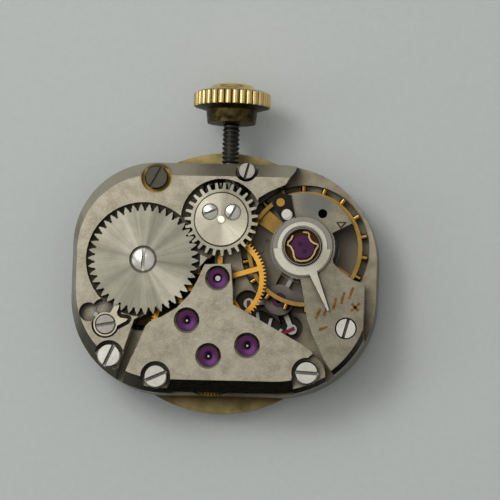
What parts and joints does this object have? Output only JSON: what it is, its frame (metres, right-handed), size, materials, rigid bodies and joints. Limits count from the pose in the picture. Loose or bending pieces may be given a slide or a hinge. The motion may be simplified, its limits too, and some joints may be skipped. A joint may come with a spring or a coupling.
{
  "type": "mechanical watch movement",
  "caption": "Small shaped hand-wound lever watch movement with bridges, wheel train, balance, dial, stem and crown.",
  "frame": {"origin": "on the centre wheel's axis, in the plane where the dial meets the plate", "axes": "+Z from the dial to the bridges, +Y out along the winding stem to the crown, +X to the balance side"},
  "size_m": [0.0153, 0.0166, 0.0043],
  "materials": {
    "nickel_plate": "nickel-plated brass, fine grained, warm grey",
    "steel": "hardened steel, circular or straight grained",
    "polished_steel": "hardened steel, polished flat",
    "blued_steel": "blued spring strip",
    "brass": "plain brass",
    "gilt_brass": "gilt brass, satin",
    "aged_brass": "silvered brass with an aged edge",
    "gold_plate": "gold plate, polished, worn at the neck",
    "ruby": "synthetic ruby, polished"
  },
  "bodies": {
    "frame": {"main_plate": "nickel_plate", "barrel_bridge": "nickel_plate", "train_bridge": "nickel_plate", "balance_cock": "nickel_plate", "pallet_bridge": "nickel_plate", "bridge_screws": "polished_steel", "pallet_bridge_screw": "polished_steel", "setting_lever_screw": "polished_steel", "cover_screws": "polished_steel", "click_screw": "polished_steel", "crown_wheel_core": "steel", "crown_wheel_screws": "polished_steel", "bridge_jewels": "ruby", "plate_jewels": "ruby", "balance_jewels": "ruby", "shock_settings": "steel", "shock_springs": "gilt_brass", "dial": "aged_brass", "hour_markers": "gilt_brass", "click_spring": "steel", "setting_lever_spring": "steel"},
    "winding": {"winding_pinion": "steel"},
    "stem_and_crown": {"stem": "steel", "crown": "gold_plate"},
    "clutch": {"sliding_pinion": "steel"},
    "setting_lever": {"setting_lever": "steel"},
    "yoke": {"yoke": "steel"},
    "crown_wheel": {"crown_wheel": "steel"},
    "ratchet": {"ratchet_wheel": "steel", "ratchet_screw": "polished_steel", "barrel_arbor": "steel"},
    "click": {"click": "polished_steel"},
    "barrel": {"barrel_drum": "brass", "barrel_cover": "brass", "mainspring": "steel"},
    "centre": {"centre_wheel": "gilt_brass", "centre_pinion": "polished_steel"},
    "third": {"third_wheel": "gilt_brass", "third_pinion": "polished_steel"},
    "fourth": {"fourth_wheel": "gilt_brass", "fourth_pinion": "polished_steel"},
    "escape": {"escape_wheel": "polished_steel", "escape_pinion": "polished_steel"},
    "pallets": {"pallet_fork": "polished_steel", "pallet_arbor": "polished_steel", "pallet_stones": "ruby"},
    "balance": {"balance_wheel": "gilt_brass", "balance_screws": "gilt_brass", "balance_staff": "polished_steel", "roller": "polished_steel", "impulse_jewel": "ruby", "hairspring_collet": "brass", "hairspring": "blued_steel"},
    "regulator": {"regulator": "steel"},
    "stud_carrier": {"stud_carrier": "polished_steel", "hairspring_stud": "brass"},
    "cannon": {"cannon_pinion": "polished_steel"},
    "minute": {"minute_wheel": "brass"},
    "hour": {"hour_wheel": "brass"},
    "setting_wheel": {"setting_wheel": "steel"}
  },
  "joints": [
    {"name": "crown_turn", "type": "hinge", "parent": "frame", "child": "winding", "pos_m": [0.0003, 0, 0.00132], "axis": [0, 1, 0], "continuous": true},
    {"name": "stem_pull", "type": "slide", "parent": "winding", "child": "stem_and_crown", "axis": [0, 1, 0], "range_m": [0, 0.0003]},
    {"name": "clutch_slide", "type": "slide", "parent": "winding", "child": "clutch", "axis": [0, 1, 0], "range_m": [-0.00031, 0.00001]},
    {"name": "setting_lever_swing", "type": "hinge", "parent": "frame", "child": "setting_lever", "pos_m": [0.00129, 0.00544, 0], "axis": [0, 0, 1], "range_deg": [-17.81, 0.5]},
    {"name": "yoke_swing", "type": "hinge", "parent": "frame", "child": "yoke", "pos_m": [-0.00189, 0.00447, 0], "axis": [0, 0, 1], "range_deg": [-8.33, 0.5]},
    {"name": "crown_wheel_turn", "type": "hinge", "parent": "frame", "child": "crown_wheel", "pos_m": [0.0001, 0.00294, 0], "axis": [0, 0, 1], "continuous": true},
    {"name": "ratchet_turn", "type": "hinge", "parent": "frame", "child": "ratchet", "pos_m": [-0.00377, 0.00085, 0], "axis": [0, 0, 1], "continuous": true},
    {"name": "click_swing", "type": "hinge", "parent": "frame", "child": "click", "pos_m": [-0.00556, -0.00246, 0], "axis": [0, 0, 1], "range_deg": [-14, 0], "stiffness_Nm_per_rad": 0.000002, "springref_deg": 5.73},
    {"name": "fourth_turn", "type": "hinge", "parent": "frame", "child": "fourth", "pos_m": [-0.00034, -0.00392, 0], "axis": [0, 0, 1], "continuous": true},
    {"name": "escape_turn", "type": "hinge", "parent": "frame", "child": "escape", "pos_m": [0.00159, -0.00336, 0], "axis": [0, 0, 1], "continuous": true},
    {"name": "third_turn", "type": "hinge", "parent": "frame", "child": "third", "pos_m": [-0.00149, -0.00216, 0], "axis": [0, 0, 1], "continuous": true},
    {"name": "centre_turn", "type": "hinge", "parent": "frame", "child": "centre", "pos_m": [0, 0, 0], "axis": [0, 0, 1], "continuous": true},
    {"name": "barrel_turn", "type": "hinge", "parent": "frame", "child": "barrel", "pos_m": [-0.00377, 0.00085, 0], "axis": [0, 0, 1], "continuous": true},
    {"name": "cannon_turn", "type": "hinge", "parent": "frame", "child": "cannon", "pos_m": [0, 0, 0], "axis": [0, 0, 1], "continuous": true},
    {"name": "minute_turn", "type": "hinge", "parent": "frame", "child": "minute", "pos_m": [0.00161, 0.00081, 0], "axis": [0, 0, 1], "continuous": true},
    {"name": "hour_turn", "type": "hinge", "parent": "frame", "child": "hour", "pos_m": [0, 0, 0], "axis": [0, 0, 1], "continuous": true},
    {"name": "setting_wheel_turn", "type": "hinge", "parent": "frame", "child": "setting_wheel", "pos_m": [0.0003, 0.00215, 0], "axis": [0, 0, 1], "continuous": true},
    {"name": "pallet_rock", "type": "hinge", "parent": "frame", "child": "pallets", "pos_m": [0.00299, -0.00091, 0], "axis": [0, 0, 1], "range_deg": [-5, 5]},
    {"name": "balance_swing", "type": "hinge", "parent": "frame", "child": "balance", "pos_m": [0.00425, 0.00164, 0], "axis": [0, 0, 1], "range_deg": [-270, 270], "stiffness_Nm_per_rad": 0.00000002, "deforming": ["hairspring"]},
    {"name": "regulator_swing", "type": "hinge", "parent": "frame", "child": "regulator", "pos_m": [0.00425, 0.00164, 0], "axis": [0, 0, 1], "range_deg": [-15, 15]},
    {"name": "stud_carrier_swing", "type": "hinge", "parent": "frame", "child": "stud_carrier", "pos_m": [0.00425, 0.00164, 0], "axis": [0, 0, 1], "range_deg": [-6, 10]}
  ],
  "couplings": [
    {"joint": "clutch_slide", "follows": "stem_pull", "ratio": -1},
    {"joint": "setting_lever_swing", "follows": "stem_pull", "rad_per_m": -1006.9},
    {"joint": "yoke_swing", "follows": "stem_pull", "rad_per_m": -455.58},
    {"joint": "crown_wheel_turn", "follows": "crown_turn", "ratio": -0.62963},
    {"joint": "ratchet_turn", "follows": "crown_turn", "ratio": 0.40476},
    {"joint": "escape_turn", "follows": "fourth_turn", "ratio": -10},
    {"joint": "third_turn", "follows": "fourth_turn", "ratio": -0.13333},
    {"joint": "centre_turn", "follows": "fourth_turn", "ratio": 0.016667},
    {"joint": "barrel_turn", "follows": "fourth_turn", "ratio": -0.0027778},
    {"joint": "cannon_turn", "follows": "fourth_turn", "ratio": 0.016667},
    {"joint": "minute_turn", "follows": "fourth_turn", "ratio": -0.0055556},
    {"joint": "hour_turn", "follows": "fourth_turn", "ratio": 0.0013889},
    {"joint": "setting_wheel_turn", "follows": "fourth_turn", "ratio": 0.014286}
  ]
}
